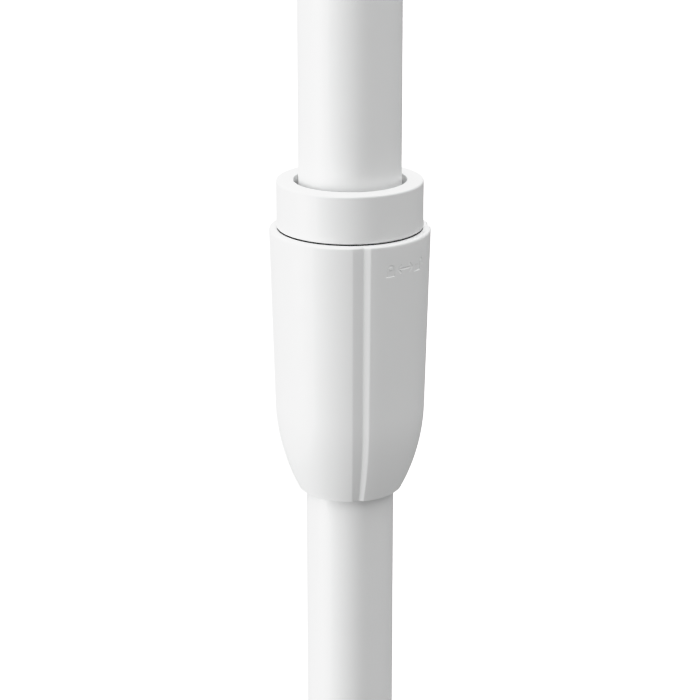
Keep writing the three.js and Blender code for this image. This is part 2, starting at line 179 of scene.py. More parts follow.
def add_bump(tree, shader, heights):
    """Bumps on the shader. Each height is a noise output with its depth in millimetres."""
    normal = None
    for height, depth in heights:
        bump = tree.nodes.new("ShaderNodeBump")
        bump.inputs["Distance"].default_value = depth * MM
        tree.links.new(height, bump.inputs["Height"])
        if normal:
            tree.links.new(normal, bump.inputs["Normal"])
        normal = bump.outputs["Normal"]
    tree.links.new(normal, shader.inputs["Normal"])


def coated(name, color, roughness, grain, depth, rubbing=0.0):
    """A powder coat: an orange-peel skin under a finer grain, with rubbing along the pole where it slides."""
    material, tree, shader = new_material(name, color, roughness)
    mottle(tree, shader, noise(tree, 60), color, CLOUDING)
    gloss = noise(tree, 25, 2, (40, 40, 1)) if rubbing else noise(tree, 180)
    tree.links.new(
        spread(tree, gloss, roughness - 0.03 - rubbing, roughness + 0.04),
        shader.inputs["Roughness"],
    )
    skin = noise(tree, grain, 2)
    fine_grain = noise(tree, grain * 5, 4)
    add_bump(tree, shader, [(skin, depth), (fine_grain, depth * 0.15)])
    return material


def moulded(name, color, roughness, grain, depth):
    """Moulded plastic: the mould's spark-eroded grain, on edges that handling has polished."""
    material, tree, shader = new_material(name, color, roughness)
    mottle(tree, shader, noise(tree, 45), color, CLOUDING)
    geometry = tree.nodes.new("ShaderNodeNewGeometry")
    worn = tree.nodes.new("ShaderNodeMath")
    worn.operation = "SUBTRACT"
    uneven = spread(tree, noise(tree, 220), roughness - 0.04, roughness + 0.05)
    edges = spread(tree, geometry.outputs["Pointiness"], 0, HANDLING_POLISH, (0.52, 0.6))
    tree.links.new(uneven, worn.inputs[0])
    tree.links.new(edges, worn.inputs[1])
    tree.links.new(worn.outputs[0], shader.inputs["Roughness"])
    add_bump(tree, shader, [(noise(tree, grain, 5), depth), (noise(tree, grain * 0.12, 2), depth)])
    return material


def machined(name, color, roughness):
    """Bare metal with the tool marks of a lathe, which run round the pole's axis."""
    material, tree, shader = new_material(name, color, roughness, 1.0)
    marks = noise(tree, 300, 4, (1, 1, 12))
    mottle(tree, shader, marks, color, 0.15)
    tree.links.new(
        spread(tree, marks, roughness - 0.08, roughness + 0.12), shader.inputs["Roughness"]
    )
    add_bump(tree, shader, [(marks, 0.01)])
    return material


materials = {
    "upper_paint": coated("upper_paint", (0.925, 0.93, 0.928), 0.42, 900, 0.02),
    "lower_paint": coated("lower_paint", (0.895, 0.9, 0.898), 0.42, 1600, 0.032, rubbing=0.06),
    "white_plastic": moulded("white_plastic", (0.885, 0.89, 0.888), 0.46, 5200, 0.012),
    "natural_plastic": moulded("natural_plastic", (0.72, 0.7, 0.64), 0.42, 3000, 0.008),
    "black_plastic": moulded("black_plastic", (0.02, 0.02, 0.021), 0.45, 3000, 0.01),
    "grey_plastic": moulded("grey_plastic", (0.26, 0.27, 0.29), 0.5, 3000, 0.01),
    "rubber": moulded("rubber", (0.03, 0.03, 0.032), 0.8, 4000, 0.02),
    "steel": machined("steel", (0.62, 0.63, 0.65), 0.28),
    "brass": machined("brass", (0.78, 0.6, 0.28), 0.3),
}


# ---- Shapes ----
def steps_between(start, end, step):
    """Values from the start up to just before the end, in equal steps of at most the given one."""
    count = math.ceil((end - start) / step)
    return [start + (end - start) * i / count for i in range(count)]


def even_angles(count):
    return [360 * i / count for i in range(count)]


def arc(r, z, radius, start, end, steps):
    """Points on an arc round (r, z), from one angle to another. 0 points outwards and 90 points up."""
    angles = [math.radians(start + (end - start) * k / steps) for k in range(steps + 1)]
    return [(r + radius * math.cos(angle), z + radius * math.sin(angle)) for angle in angles]


def rounded(corners, steps=4):
    """A closed profile of (radius, height, fillet) corners in millimetres, with its corners rounded."""
    points = []
    for i, (r, z, fillet) in enumerate(corners):
        here = Vector((r, z))
        if not fillet:
            points.append((r, z))
            continue
        before = (Vector(corners[i - 1][:2]) - here).normalized()
        after = (Vector(corners[(i + 1) % len(corners)][:2]) - here).normalized()
        half = before.angle(after) / 2
        reach = fillet / math.tan(half)
        centre = here + (before + after).normalized() * (fillet / math.sin(half))
        start, end = here + before * reach - centre, here + after * reach - centre
        for k in range(steps + 1):
            point = centre + start.lerp(end, k / steps).normalized() * fillet
            points.append((point.x, point.y))
    return points


def at(degrees, r, z):
    """The point at an angle from the front, a radius and a height."""
    angle = math.radians(degrees)
    return Vector((r * math.sin(angle), -r * math.cos(angle), z))


def make_mesh(name, vertices, faces):
    """An object from vertices in millimetres."""
    mesh = bpy.data.meshes.new(name)
    mesh.from_pydata([Vector(v) * MM for v in vertices], [], faces)
    made = bpy.data.objects.new(name, mesh)
    scene.collection.objects.link(made)
    return made


def turned(name, profile, angles, reshape=None, closed=True):
    """A profile swept round Z through the angles. Outer walls run upwards, inner walls downwards.

    reshape turns an angle, a radius and a height into a new radius and height.
    """
    rows = len(profile)
    vertices, faces = [], []
    for degrees in angles:
        for r, z in profile:
            vertices.append(at(degrees, *(reshape(degrees, r, z) if reshape else (r, z))))
    for i in range(len(angles) if closed else len(angles) - 1):
        shift = ((i + 1) % len(angles) - i) * rows
        for k in range(rows):
            a, b = i * rows + k, i * rows + (k + 1) % rows
            faces.append((a, a + shift, b + shift, b))
    if not closed:
        faces.append(tuple(range(rows)))
        faces.append(tuple(range(len(vertices) - 1, len(vertices) - rows - 1, -1)))
    return make_mesh(name, vertices, faces)


def pin(name, profile, degrees, height, facets=32):
    """A profile of (radius, distance) points from axis to axis, turned round the radius at an angle."""
    first, last = profile[0], profile[-1]
    rings = profile[1:-1]
    points = [(0, 0, first[1])]
    for r, along in rings:
        points += [
            (r * math.cos(2 * math.pi * i / facets), r * math.sin(2 * math.pi * i / facets), along)
            for i in range(facets)
        ]
    points.append((0, 0, last[1]))
    faces = []
    for i in range(facets):
        j = (i + 1) % facets
        faces.append((0, 1 + j, 1 + i))
        for k in range(len(rings) - 1):
            low, high = 1 + k * facets, 1 + (k + 1) * facets
            faces.append((low + i, low + j, high + j, high + i))
        end = 1 + (len(rings) - 1) * facets
        faces.append((end + i, end + j, len(points) - 1))
    out, up = at(degrees, 1, 0), Vector((0, 0, 1))
    side = up.cross(out)
    centre = up * height
    placed = [centre + side * x + up * y + out * along for x, y, along in points]
    return make_mesh(name, placed, faces)


def pin_hole(radius, degrees, height, start, end):
    """A cutter for a hole along the radius at an angle, from one distance to another."""
    return pin("hole", [(0, start), (radius, start), (radius, end), (0, end)], degrees, height)


def block(name, low, high, degrees):
    """A box from one corner to the other, turned about Z."""
    spin = Matrix.Rotation(math.radians(degrees), 3, "Z")
    vertices = [
        spin @ Vector((x, y, z))
        for z in (low[2], high[2])
        for y in (low[1], high[1])
        for x in (low[0], high[0])
    ]
    sides = [(0, 2, 3, 1), (4, 5, 7, 6), (0, 1, 5, 4), (2, 6, 7, 3), (0, 4, 6, 2), (1, 3, 7, 5)]
    return make_mesh(name, vertices, sides)


def combine(piece, others, operation):
    """Joins the others to a piece, or cuts them out of it. Removes them and the slivers that this leaves."""
    for other in others:
        step = piece.modifiers.new("Combine", "BOOLEAN")
        step.operation = operation
        step.object = other
        step.solver = "EXACT"
    result = piece.evaluated_get(bpy.context.evaluated_depsgraph_get())
    mesh = bpy.data.meshes.new_from_object(result)
    piece.modifiers.clear()
    piece.data = mesh
    tidied = bmesh.new()
    tidied.from_mesh(mesh)
    bmesh.ops.remove_doubles(tidied, verts=tidied.verts, dist=SLIVER)
    bmesh.ops.dissolve_degenerate(tidied, edges=tidied.edges, dist=SLIVER)
    bmesh.ops.triangulate(tidied, faces=[face for face in tidied.faces if len(face.verts) > 4])
    tidied.to_mesh(mesh)
    tidied.free()
    for other in others:
        bpy.data.objects.remove(other)


def finish_piece(piece, node, material):
    """Gives a piece its material and smooth shading, and puts it in the place of a CAD node."""
    piece.data.materials.clear()
    piece.data.materials.append(materials[material])
    piece.data.shade_smooth()
    piece.data.set_sharp_from_angle(angle=SHARP_EDGE)
    weighted = piece.modifiers.new("Weighted normals", "WEIGHTED_NORMAL")
    weighted.keep_sharp = True
    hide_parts(node)
    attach(piece, frame["nodes"][node]["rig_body"])


def span(node):
    """A node's lowest and highest heights in millimetres."""
    low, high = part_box(node)
    return low.z / MM, high.z / MM


fine_round, plain_round = even_angles(FINE), even_angles(PLAIN)


# ---- Grip sleeve: its outer wall ----
RIM_RADIUS = 19.69
TAPER = math.radians(1.45)
BELLY_START = 126.2  # where the taper turns into the rounded foot
BELLY_RADIUS = 49.4  # of the arc that rounds the foot, in profile
RIM_FILLET = 0.6
FOOT_FILLET = 0.25
SKIN = 0.7  # how far the rounding of the rim and the foot reaches in from the outer wall
WALL_STEP = 1.1
GROOVES = 4
GROOVE_PITCH = 360 / GROOVES
GROOVE_TURN = 9.65
GROOVE_DEPTH = 0.62
GROOVE_LONG_SIDE = 7.6  # degrees from the groove's floor to its shallow edge
GROOVE_SHORT_SIDE = 4.75  # and to its steep edge
GROOVE_SOFTENING = 0.55  # degrees over which its edges and its floor are rounded
SOFTENING_STEPS = 3
GROOVE_STEP = 0.35
LOBE_STEP = 1.5
sleeve_bottom, sleeve_top = span("grip_sleeve")


def taper_radius(z):
    return RIM_RADIUS - (sleeve_top - z) * math.tan(TAPER)


def sleeve_radius(z):
    """The sleeve's outer radius between its grooves."""
    if z >= BELLY_START:
        return taper_radius(z)
    centre_r = taper_radius(BELLY_START) - BELLY_RADIUS * math.cos(TAPER)
    centre_z = BELLY_START + BELLY_RADIUS * math.sin(TAPER)
    return centre_r + math.sqrt(BELLY_RADIUS**2 - (z - centre_z) ** 2)


def groove_share(degrees):
    """How far the wall is sunk at an angle, from 0 on a lobe to 1 on a groove's floor."""

    def sharp(angle):
        offset = (angle - GROOVE_TURN + GROOVE_PITCH / 2) % GROOVE_PITCH - GROOVE_PITCH / 2
        side = GROOVE_LONG_SIDE if offset < 0 else GROOVE_SHORT_SIDE
        return max(0.0, 1 - abs(offset) / side)

    steps = range(-SOFTENING_STEPS, SOFTENING_STEPS + 1)
    return sum(sharp(degrees + GROOVE_SOFTENING * k / SOFTENING_STEPS) for k in steps) / len(steps)


# ---- Grip sleeve: its debossed lock mark ----
MARK_TURN = 44
MARK_HEIGHT = 165.3
MARK_SPAN = 40
MARK_TALL = 4.4
MARK_DEPTH = 0.12
MARK_EDGE = 0.12  # width of the slope down to the mark's floor
MARK_STROKE = 0.22
CLOSED_PLACE = -4.9  # along the wall from the middle of the mark
ARROW_PLACE = -0.5
OPENED_PLACE = 4
LOCK_HALF_WIDTH = 1.15
LOCK_HALF_HEIGHT = 0.8
LOCK_DROP = 0.75
SHACKLE_RADIUS = 0.68
SHACKLE_LEG = 0.45
SHACKLE_FOOT = -0.1
SHACKLE_SWING = 1.35
ARROW_TIP = 2.3
ARROW_BARB = 0.85
MARK_ANGLE_STEP = 0.3
MARK_WALL_STEP = 0.1


def box_distance(u, v, half_u, half_v):
    """Distance from a point to a box round the origin, negative inside."""
    du, dv = abs(u) - half_u, abs(v) - half_v
    return math.hypot(max(du, 0), max(dv, 0)) + min(max(du, dv), 0)


def line_distance(u, v, start, end):
    """Distance from a point to a line between two points."""
    along = Vector(end) - Vector(start)
    from_start = Vector((u, v)) - Vector(start)
    share = min(1, max(0, from_start.dot(along) / along.length_squared))
    return (from_start - along * share).length


def padlock_distance(u, v, swing):
    """Distance to a padlock's outline: a body, and a shackle swung to one side of the middle."""
    body = box_distance(u, v + LOCK_DROP, LOCK_HALF_WIDTH, LOCK_HALF_HEIGHT)
    across = u - swing
    if v > SHACKLE_LEG:
        shackle = abs(math.hypot(across, v - SHACKLE_LEG) - SHACKLE_RADIUS)
    else:
        shackle = math.hypot(abs(across) - SHACKLE_RADIUS, min(v - SHACKLE_FOOT, 0))
    return min(body, shackle - MARK_STROKE)


def arrow_distance(u, v):
    """Distance to a bar with a head at each end."""
    bar = line_distance(u, v, (-ARROW_TIP, 0), (ARROW_TIP, 0))
    head = line_distance(abs(u), abs(v), (ARROW_TIP, 0), (ARROW_TIP - ARROW_BARB, ARROW_BARB))
    return min(bar, head) - MARK_STROKE


def mark_depth(degrees, z):
    """Depth of the mark: a closed padlock, a double arrow and an open padlock."""
    across, v = degrees - MARK_TURN, z - MARK_HEIGHT
    if abs(across) > MARK_SPAN / 2 or abs(v) > MARK_TALL / 2:
        return 0
    u = math.radians(across) * sleeve_radius(z)
    distance = min(
        padlock_distance(u - CLOSED_PLACE, v, 0),
        arrow_distance(u - ARROW_PLACE, v),
        padlock_distance(u - OPENED_PLACE, v, SHACKLE_SWING),
    )
    return MARK_DEPTH * min(1, max(0, 0.5 - distance / MARK_EDGE))


# ---- Grip sleeve: its bores and cam tracks ----
MOUTH_RADIUS = 17.7
RING_SEAT = 160.2  # the step that the retaining ring sits on
FLANGE_BORE = 17
FLANGE_SEAT = 155  # the step that carries the core's flange
TRACK_BORE = 16
TRACK_RADIUS = 17.2
TRACK_FLOOR = 124
RAMP_RADIUS, RAMP_FOOT = 15.5, 118  # where the bore starts to close in on the wiper
THROAT_RADIUS = 14
WIPER_BORE = 12.8
WIPER_TOP = 112.4
WIPER_SEAT = 107.6
SLEEVE_FOOT_BORE = 11.8
BORE_EDGE = 0.1
LUG_CLEARANCE = 0.4
WEDGE_TRAVEL = 2  # down, over the whole twist
TWIST = 75  # from locked to free
ENTRY_TURN = 13  # past the free end, where the lugs drop in
TRACK_STEP = 3
END_OVERLAP = 0.01  # keeps the ends of two cutters off one plane


def sleeve_profile():
    """The sleeve's outer wall from foot to rim, then its bores from mouth to foot."""
    foot, rim = sleeve_bottom + FOOT_FILLET, sleeve_top - RIM_FILLET
    foot_radius, rim_radius = sleeve_radius(foot), sleeve_radius(rim)
    mark_low, mark_high = MARK_HEIGHT - MARK_TALL / 2, MARK_HEIGHT + MARK_TALL / 2
    heights = steps_between(foot, mark_low, WALL_STEP)
    heights += steps_between(mark_low, mark_high, MARK_WALL_STEP)
    heights += steps_between(mark_high, rim, WALL_STEP)
    outer = arc(foot_radius - FOOT_FILLET, foot, FOOT_FILLET, -90, 0, 4)
    outer += [(sleeve_radius(z), z) for z in heights[1:]]
    outer += arc(rim_radius - RIM_FILLET, rim, RIM_FILLET, 0, 90, 6)
    bores = rounded([
        (rim_radius, sleeve_top, 0),
        (MOUTH_RADIUS, sleeve_top, BORE_EDGE), (MOUTH_RADIUS, RING_SEAT, 0),
        (FLANGE_BORE, RING_SEAT, BORE_EDGE), (FLANGE_BORE, FLANGE_SEAT, 0),
        (TRACK_BORE, FLANGE_SEAT, BORE_EDGE), (TRACK_BORE, TRACK_FLOOR, 0),
        (RAMP_RADIUS, RAMP_FOOT, 0), (THROAT_RADIUS, WIPER_TOP, 0),
        (WIPER_BORE, WIPER_TOP, BORE_EDGE), (WIPER_BORE, WIPER_SEAT, 0),
        (SLEEVE_FOOT_BORE, WIPER_SEAT, BORE_EDGE), (SLEEVE_FOOT_BORE, sleeve_bottom, 0.15),
        (foot_radius, sleeve_bottom, 0),
    ], 3)
    return outer + bores[1:-1]


def sleeve_angles():
    """Angles round the sleeve, close together across the grooves and the mark."""
    mark_start, mark_end = MARK_TURN - MARK_SPAN / 2, MARK_TURN + MARK_SPAN / 2
    angles = []
    for i in range(GROOVES):
        floor = GROOVE_TURN + GROOVE_PITCH * i
        start, end = floor - GROOVE_LONG_SIDE - 1, floor + GROOVE_SHORT_SIDE + 1
        next_start = start + GROOVE_PITCH
        angles += steps_between(start, end, GROOVE_STEP)
        if end < mark_start < next_start:
            angles += steps_between(end, mark_start, LOBE_STEP)
            angles += steps_between(mark_start, mark_end, MARK_ANGLE_STEP)
            end = mark_end
        angles += steps_between(end, next_start, LOBE_STEP)
    return angles


def sleeve_shape(degrees, r, z):
    """Sinks the grooves and the mark into the outer wall."""
    if r < sleeve_radius(z) - SKIN:
        return r, z
    return r - GROOVE_DEPTH * groove_share(degrees) - mark_depth(degrees, z), z


def track_cutters(locked):
    """The cam track of one lug, and the slot that the lug comes in by."""
    half = LUG_HALF + LUG_CLEARANCE
    margin = math.degrees(half / TRACK_BORE)
    free, low = locked - TWIST, LUG_MIDDLE - WEDGE_TRAVEL
    entry = free - ENTRY_TURN

    def climb(degrees, r, z):
        share = min(1, max(0, (degrees - free) / TWIST))
        return r, z + low + WEDGE_TRAVEL * share

    inner = TRACK_BORE - 1
    section = [(inner, -half), (TRACK_RADIUS, -half), (TRACK_RADIUS, half), (inner, half)]
    start, end = entry - margin, locked + margin
    sweep = steps_between(start, free, TRACK_STEP) + steps_between(free, locked, TRACK_STEP)
    cam = turned("cam", section, sweep + [locked, end], climb, closed=False)
    slot = [(r, low - half if z < 0 else FLANGE_SEAT + 1) for r, z in section]
    slot_end = entry + margin
    slot_sweep = steps_between(start - END_OVERLAP, slot_end, TRACK_STEP) + [slot_end]
    return [cam, turned("entry", slot, slot_sweep, closed=False)]


sleeve = turned("grip_sleeve_shell", sleeve_profile(), sleeve_angles(), sleeve_shape)
combine(sleeve, [cutter for turn in LUG_TURNS for cutter in track_cutters(turn)], "DIFFERENCE")
finish_piece(sleeve, "grip_sleeve", "white_plastic")


# ---- Tubes ----
TUBE_EDGE = 0.2


def make_tube(node, radius, material, rivets_at, screws=()):
    """A tube with holes for its rivets, and for set screws at the angles in screws."""
    low, high = span(node)
    inner = radius - TUBE_WALL
    tube = turned(node + "_wall", rounded([
        (inner, low, TUBE_EDGE), (radius, low, TUBE_EDGE),
        (radius, high, TUBE_EDGE), (inner, high, TUBE_EDGE),
    ]), fine_round)
    holes = [
        pin_hole(RIVET_SHANK + CLEARANCE, turn, rivets_at, radius - 2, radius + 1)
        for turn in RIVET_TURNS.values()
    ]
    holes += [
        pin_hole(SCREW_POINT + CLEARANCE, turn, SCREW_HEIGHT, radius - 2, radius + 1)
        for turn in screws
    ]
    combine(tube, holes, "DIFFERENCE")
    finish_piece(tube, node, material)


make_tube("lower_tube", LOWER_RADIUS, "lower_paint", RIVET_HEIGHT)
make_tube("upper_tube", UPPER_RADIUS, "upper_paint", OVERALL - RIVET_HEIGHT, SCREW_TURNS)


# ---- Collar ----
COLLAR_RADIUS = 17.85
COLLAR_BORE = CORE_RADIUS + CLEARANCE
COLLAR_LIP_RADIUS = 13.7
COLLAR_LIP = 3.2  # thickness of the inward lip
collar_bottom, collar_top = span("collar_ring")
collar = rounded([
    (COLLAR_BORE, collar_bottom, 0.1), (COLLAR_RADIUS, collar_bottom, 0.4),
    (COLLAR_RADIUS, collar_top, 0.6), (COLLAR_LIP_RADIUS, collar_top, 0.3),
    (COLLAR_LIP_RADIUS, collar_top - COLLAR_LIP, 0.2), (COLLAR_BORE, collar_top - COLLAR_LIP, 0),
], 6)
finish_piece(turned("collar_ring_body", collar, fine_round), "collar_ring", "white_plastic")


# ---- End plugs, threaded inserts and rivets ----
PLUG_FLANGE = 2
PLUG_LENGTH = 20
PLUG_SEAT = 6.5  # radius of the pocket that holds the insert
PLUG_STEP = 5  # radius of the bore past the pocket
PLUG_STEP_HEIGHT = 16.3
PLUG_GROOVE = (5, 7.2)  # heights of its edges
PLUG_GROOVE_DEPTH = 0.5
PLUG_GROOVE_SLOPE = 0.4
FACE_RING_DEPTH = 0.3
INSERT_RADIUS = 6.2
INSERT_MOUTH = 5
INSERT_EDGE = 0.2
THREAD_MINOR = 4.3
THREAD_DEPTH = 0.6
THREAD_PITCH = 1.25
RIVET_HEAD = 2.6
RIVET_DOME = 1
RIVET_SUNK = 0.1  # how far the head is let into the tube
RIVET_RIM = 0.15  # how far the foot of the dome stands off the tube's radius
MANDREL_RADIUS = 0.8  # of the hollow in the head's middle
MANDREL_DEPTH = 0.45


def from_end(profile, upper):
    """A profile drawn up from an end face, put at the lower end or turned over for the upper one."""
    if not upper:
        return profile
    return [(r, OVERALL - z, *rest) for r, z, *rest in reversed(profile)]


def make_plug(node, radius, upper, rivets_at):
    """A flanged plug with a moulded groove round its hub and a shallow ring in its end face."""
    hub = radius - TUBE_WALL - CLEARANCE
    low, high = PLUG_GROOVE
    floor = hub - PLUG_GROOVE_DEPTH
    face = (radius + PLUG_SEAT) / 2
    corners = [
        (face - 0.6, 0, 0.08), (face - 0.4, FACE_RING_DEPTH, 0.08),
        (face + 0.4, FACE_RING_DEPTH, 0.08), (face + 0.6, 0, 0.08),
        (radius, 0, 0.35), (radius, PLUG_FLANGE, 0.1), (hub, PLUG_FLANGE, 0),
        (hub, low, 0.1), (floor, low + PLUG_GROOVE_SLOPE, 0.1),
        (floor, high - PLUG_GROOVE_SLOPE, 0.1), (hub, high, 0.1),
        (hub, PLUG_LENGTH, 0.5), (PLUG_STEP, PLUG_LENGTH, 0.3), (PLUG_STEP, PLUG_STEP_HEIGHT, 0.1),
        (PLUG_SEAT, PLUG_STEP_HEIGHT, 0), (PLUG_SEAT, 0, 0.2),
    ]
    plug = turned(node + "_body", rounded(from_end(corners, upper)), fine_round)
    holes = [
        pin_hole(RIVET_SHANK + CLEARANCE, turn, rivets_at, PLUG_SEAT + 0.5, radius)
        for turn in RIVET_TURNS.values()
    ]
    combine(plug, holes, "DIFFERENCE")
    finish_piece(plug, node, "white_plastic")


def make_insert(node):
    """A brass bush with a real helical thread cut into its bore."""
    low, high = span(node)

    def threaded(degrees, r, z):
        if r > THREAD_MINOR + 0.01:
            return r, z
        turns = (z - low) / THREAD_PITCH - degrees / 360
        tooth = 0.5 - 0.5 * math.cos(2 * math.pi * turns)
        fade = min(1, (z - low) / THREAD_PITCH, (high - z) / THREAD_PITCH)
        return r + THREAD_DEPTH * tooth * fade, z

    outer = rounded([
        (INSERT_MOUTH, low, INSERT_EDGE), (INSERT_RADIUS, low, INSERT_EDGE),
        (INSERT_RADIUS, high, INSERT_EDGE), (INSERT_MOUTH, high, INSERT_EDGE),
    ])
    bore = [(THREAD_MINOR, z) for z in reversed(steps_between(low, high, THREAD_PITCH / 12)[1:])]
    made = turned(node + "_body", outer + bore, plain_round, threaded)
    finish_piece(made, node, "brass")


def make_rivet(node, radius, degrees, height, material):
    """A blind rivet with a domed head, let into the tube, and the hollow that its mandrel leaves."""
    tip = INSERT_RADIUS + 2 * CLEARANCE + 0.6
    seat = math.sqrt(radius**2 - RIVET_HEAD**2) - RIVET_SUNK
    edge = radius + RIVET_RIM
    crown = edge + RIVET_DOME
    profile = [
        (0, tip), (RIVET_SHANK - 0.2, tip), (RIVET_SHANK, tip + 0.2), (RIVET_SHANK, seat),
        (RIVET_HEAD, seat), (RIVET_HEAD, edge),
    ]
    for k in range(1, 9):
        angle = math.radians(8.8 * k)
        profile.append((RIVET_HEAD * math.cos(angle), edge + RIVET_DOME * math.sin(angle)))
    profile += [
        (MANDREL_RADIUS, crown - 0.05), (MANDREL_RADIUS - 0.05, crown - MANDREL_DEPTH),
        (0, crown - MANDREL_DEPTH),
    ]
    finish_piece(pin(node + "_body", profile, degrees, height, 48), node, material)


for end, radius, upper in (("lower", LOWER_RADIUS, False), ("upper", UPPER_RADIUS, True)):
    rivets_at = OVERALL - RIVET_HEIGHT if upper else RIVET_HEIGHT
    make_plug(end + "_end_plug", radius, upper, rivets_at)
    make_insert(end + "_thread_insert")
    for side, turn in RIVET_TURNS.items():
        make_rivet(f"{end}_rivet_{side}", radius, turn, rivets_at, end + "_paint")


# ---- Guide bush ----
BUSH_HUB = 9.9
BUSH_FLANGE = 11.4
BUSH_FLANGE_THICKNESS = 3
BUSH_BORE = 8
BUSH_GROOVES = (195, 198.5, 202)
BUSH_GROOVE_DEPTH = 0.5
bush_low, bush_high = span("guide_bush")
bush_seat = bush_high - BUSH_FLANGE_THICKNESS
bush = [(BUSH_BORE, bush_low, 0.3), (BUSH_HUB, bush_low, 0.5)]
for height in BUSH_GROOVES:
    floor = BUSH_HUB - BUSH_GROOVE_DEPTH
    bush += [
        (BUSH_HUB, height - 0.6, 0.1), (floor, height - 0.3, 0.1),
        (floor, height + 0.3, 0.1), (BUSH_HUB, height + 0.6, 0.1),
    ]
bush += [
    (BUSH_HUB, bush_seat, 0), (BUSH_FLANGE, bush_seat, 0.2),
    (BUSH_FLANGE, bush_high, 0.5), (BUSH_BORE, bush_high, 0.6),
]
finish_piece(turned("guide_bush_body", rounded(bush), plain_round), "guide_bush", "grey_plastic")


# ---- Wiper ring ----
WIPER_OUTER = WIPER_BORE - CLEARANCE
WIPER_LIP = 11.2
WIPER_RELIEF = 0.5  # the bore above the lip stands off the tube by this much more
wiper_low, wiper_high = span("wiper_ring")
wiper = rounded([
    (WIPER_LIP, wiper_low, 0.1), (WIPER_OUTER, wiper_low, 0.2),
    (WIPER_OUTER, wiper_high, 0.2), (WIPER_LIP + WIPER_RELIEF, wiper_high, 0.1),
    (WIPER_LIP + WIPER_RELIEF, wiper_low + 1.6, 0.2), (WIPER_LIP, wiper_low + 0.9, 0.1),
])
finish_piece(turned("wiper_ring_body", wiper, plain_round), "wiper_ring", "rubber")


# ---- Washers and retaining ring ----
RETAINER_RADIUS = 17.4
WAVES = 3
WAVE_HEIGHT = 0.15


def make_ring(node, outer, material, fillet, flex=0.0):
    """A flat ring, or a wave washer if it has flex."""
    low, high = span(node)
    profile = rounded([
        (WASHER_BORE, low + flex, fillet), (outer, low + flex, fillet),
        (outer, high - flex, fillet), (WASHER_BORE, high - flex, fillet),
    ])

    def wave(degrees, r, z):
        return r, z + flex * math.cos(math.radians(WAVES * degrees))

    finish_piece(turned(node + "_body", profile, plain_round, wave), node, material)


make_ring("thrust_washer", FLANGE_RADIUS, "natural_plastic", 0.2)
make_ring("wave_washer", FLANGE_RADIUS, "steel", 0.08, WAVE_HEIGHT)
make_ring("retaining_ring", RETAINER_RADIUS, "black_plastic", 0.3)


# ---- Collet core and its liner ----
FINGER_FOOT, FINGER_TOP = 122, 143.5
FINGER_FOOT_RADIUS, FINGER_TOP_RADIUS = 12.3, 14.2
FINGERS = 6
SLOT_TOP = 146
HALF_SLOT = 1.2
SHOULDER_BORE = 11.2
SHOULDER_TOP = 151.7  # the upper tube stands here
CORE_BORE = UPPER_RADIUS + CLEARANCE
FLANGE_BOTTOM, FLANGE_TOP = 156.4, 159.2
LINER_INNER = 11.15
LINER_OUTER = 11.6
LINER_POCKET = LINER_OUTER + CLEARANCE
LINER_GAP = math.degrees(1 / LINER_OUTER)  # half of the split at the back, 2 mm wide
liner_low, liner_high = span("friction_liner")
core_high = span("collet_core")[1]

core = rounded([
    (FINGER_FOOT_RADIUS, FINGER_FOOT, 0.25), (FINGER_TOP_RADIUS, FINGER_TOP, 0.1),
    (CORE_RADIUS, FINGER_TOP, 0.2), (CORE_RADIUS, FLANGE_BOTTOM, 0.2),
    (FLANGE_RADIUS, FLANGE_BOTTOM, 0.15), (FLANGE_RADIUS, FLANGE_TOP, 0.15),
    (CORE_RADIUS, FLANGE_TOP, 0.2), (CORE_RADIUS, core_high, 0.4),
    (CORE_BORE, core_high, 0.4), (CORE_BORE, SHOULDER_TOP, 0),
    (SHOULDER_BORE, SHOULDER_TOP, 0.2), (SHOULDER_BORE, liner_high + CLEARANCE, 0),
    (LINER_POCKET, liner_high + CLEARANCE, 0), (LINER_POCKET, liner_low - CLEARANCE, 0),
    (SHOULDER_BORE, liner_low - CLEARANCE, 0.1), (SHOULDER_BORE, FINGER_FOOT, 0.2),
])
core_body = turned("collet_core_body", core, fine_round)
core_cuts = [
    block("slot", (-HALF_SLOT, -CORE_RADIUS - 1, FINGER_FOOT - 1), (HALF_SLOT, -5, SLOT_TOP), turn)
    for turn in even_angles(FINGERS)
]
core_cuts += [
    pin_hole(SCREW_RADIUS + CLEARANCE, turn, SCREW_HEIGHT, CORE_BORE - 1, CORE_RADIUS + 1)
    for turn in SCREW_TURNS
]
combine(core_body, core_cuts, "DIFFERENCE")
finish_piece(core_body, "collet_core", "black_plastic")

liner = rounded([
    (LINER_INNER, liner_low, 0.1), (LINER_OUTER, liner_low, 0.1),
    (LINER_OUTER, liner_high, 0.1), (LINER_INNER, liner_high, 0.1),
])
liner_sweep = [180 + LINER_GAP + (360 - 2 * LINER_GAP) * i / PLAIN for i in range(PLAIN + 1)]
liner_body = turned("friction_liner_body", liner, liner_sweep, closed=False)
finish_piece(liner_body, "friction_liner", "rubber")


# ---- Wedge ring ----
WEDGE_OUTER = TRACK_BORE - CLEARANCE
WEDGE_CONE_GAP = 0.25
KEY_FLOOR = LINER_OUTER + 2 * CLEARANCE
KEY_HALF = HALF_SLOT - CLEARANCE
wedge_low, wedge_high = span("wedge_ring")


def cone_radius(z):
    """The radius of the cone on the outside of the collet's fingers."""
    share = (z - FINGER_FOOT) / (FINGER_TOP - FINGER_FOOT)
    return FINGER_FOOT_RADIUS + (FINGER_TOP_RADIUS - FINGER_FOOT_RADIUS) * share


